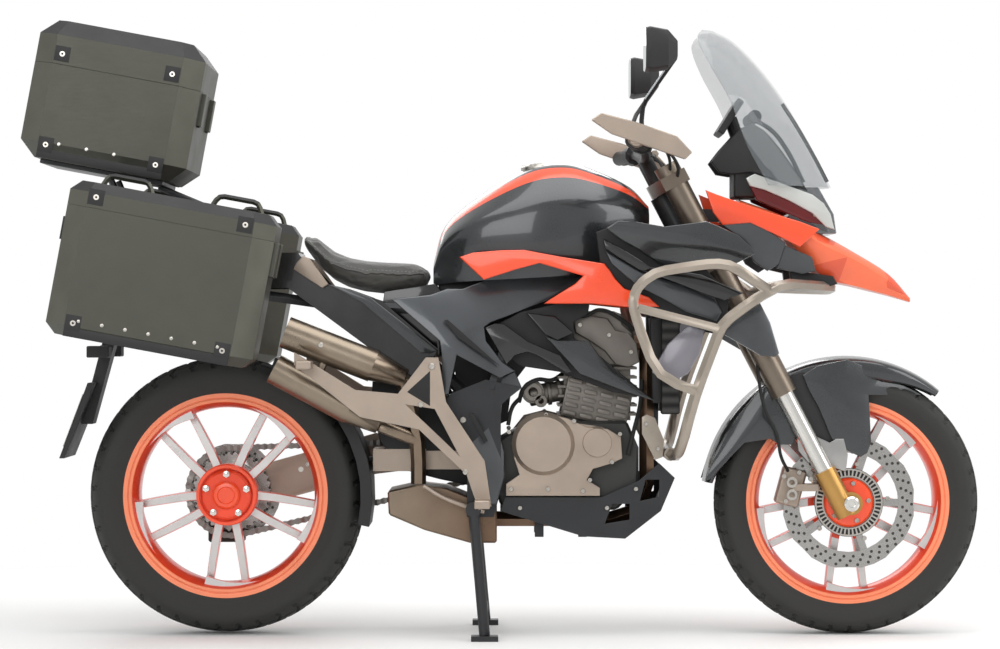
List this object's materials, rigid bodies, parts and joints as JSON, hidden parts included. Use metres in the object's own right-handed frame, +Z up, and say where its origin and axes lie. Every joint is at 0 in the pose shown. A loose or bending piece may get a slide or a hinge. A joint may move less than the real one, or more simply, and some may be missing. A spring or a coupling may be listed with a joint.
{
  "type": "adventure motorcycle",
  "caption": "Adventure motorcycle on its centre stand, with an aluminium top case and side cases, crash bars, a tall screen and cast wheels; steering, wheels, stand and case lids move.",
  "frame": {"origin": "centre of the whole bike's box in plan, at the floor it stands on", "axes": "+X forwards, +Y to the rider's left, +Z up"},
  "size_m": [2.153, 0.944, 1.3799],
  "materials": {
    "body_grey": "satin metallic paint",
    "accent_red": "moulded orange-red plastic",
    "gloss_black": "gloss black plastic",
    "matt_black": "grained black plastic",
    "champagne": "champagne metallic coat",
    "case_olive": "dark anodised sheet",
    "tyre_rubber": "road tyre",
    "wheel_red": "orange-red coated casting",
    "frame_dark": "dark powder coat",
    "steel": "ground steel",
    "bronze_steel": "bronze-tinted stainless steel",
    "seat_cover": "grained cover",
    "smoke_screen": "smoke-tinted clear plastic",
    "lamp_glass": "clear lamp lens",
    "lamp_red": "red lamp lens"
  },
  "bodies": {
    "chassis": {"bash_plate": "champagne", "beak": "accent_red", "chain": "steel", "clutch_cover": "champagne", "crash_bars": "champagne", "display": "matt_black", "engine_block": "frame_dark", "engine_cylinder": "frame_dark", "exhaust": "bronze_steel", "fairing_left": "body_grey", "fairing_right": "body_grey", "footrest_left": "champagne", "footrest_right": "champagne", "frame": "frame_dark", "headlamp": "lamp_glass", "hugger": "matt_black", "luggage_carrier": "frame_dark", "mid_cover_left": "body_grey", "mid_cover_right": "body_grey", "pannier_left": "case_olive", "pannier_right": "case_olive", "plate_holder": "matt_black", "radiator": "matt_black", "rear_caliper": "frame_dark", "seat": "seat_cover", "side_panel_left": "accent_red", "side_panel_right": "accent_red", "silencers": "bronze_steel", "swingarm": "champagne", "tail_cowl": "gloss_black", "tail_lamp": "lamp_red", "tank": "body_grey", "top_case": "case_olive", "windscreen": "smoke_screen"},
    "steering": {"fork": "champagne", "handlebar": "matt_black", "handguard_left": "champagne", "handguard_right": "champagne", "mirror_left": "matt_black", "mirror_right": "matt_black", "front_mudguard": "body_grey", "front_caliper": "frame_dark"},
    "front_wheel": {"front_tyre": "tyre_rubber", "front_rim": "wheel_red", "front_disc": "steel"},
    "rear_wheel": {"rear_tyre": "tyre_rubber", "rear_rim": "wheel_red", "rear_hub": "steel"},
    "centre_stand": {"centre_stand": "frame_dark"},
    "top_lid": {"top_lid": "case_olive"},
    "right_lid": {"right_lid": "case_olive"},
    "left_lid": {"left_lid": "case_olive"}
  },
  "joints": [
    {"name": "steering", "type": "hinge", "parent": "chassis", "child": "steering", "pos_m": [0.40015, 0, 0.919], "axis": [-0.4617, 0, 0.887], "range_deg": [-32, 32]},
    {"name": "front_wheel_spin", "type": "hinge", "parent": "steering", "child": "front_wheel", "pos_m": [0.77649, 0, 0.3], "axis": [0, 1, 0], "continuous": true},
    {"name": "rear_wheel_spin", "type": "hinge", "parent": "chassis", "child": "rear_wheel", "pos_m": [-0.62851, 0, 0.315], "axis": [0, 1, 0], "continuous": true},
    {"name": "stand_fold", "type": "hinge", "parent": "chassis", "child": "centre_stand", "pos_m": [-0.06851, 0, 0.29], "axis": [0, 1, 0], "range_deg": [0, 72]},
    {"name": "top_lid_hinge", "type": "hinge", "parent": "chassis", "child": "top_lid", "pos_m": [-0.67582, 0, 1.21961], "axis": [0, 1, 0], "range_deg": [0, 85]},
    {"name": "right_lid_hinge", "type": "hinge", "parent": "chassis", "child": "right_lid", "pos_m": [-0.49156, -0.357, 0.87764], "axis": [0, 1, 0], "range_deg": [0, 85]},
    {"name": "left_lid_hinge", "type": "hinge", "parent": "chassis", "child": "left_lid", "pos_m": [-0.49156, 0.357, 0.87764], "axis": [0, 1, 0], "range_deg": [0, 85]}
  ]
}
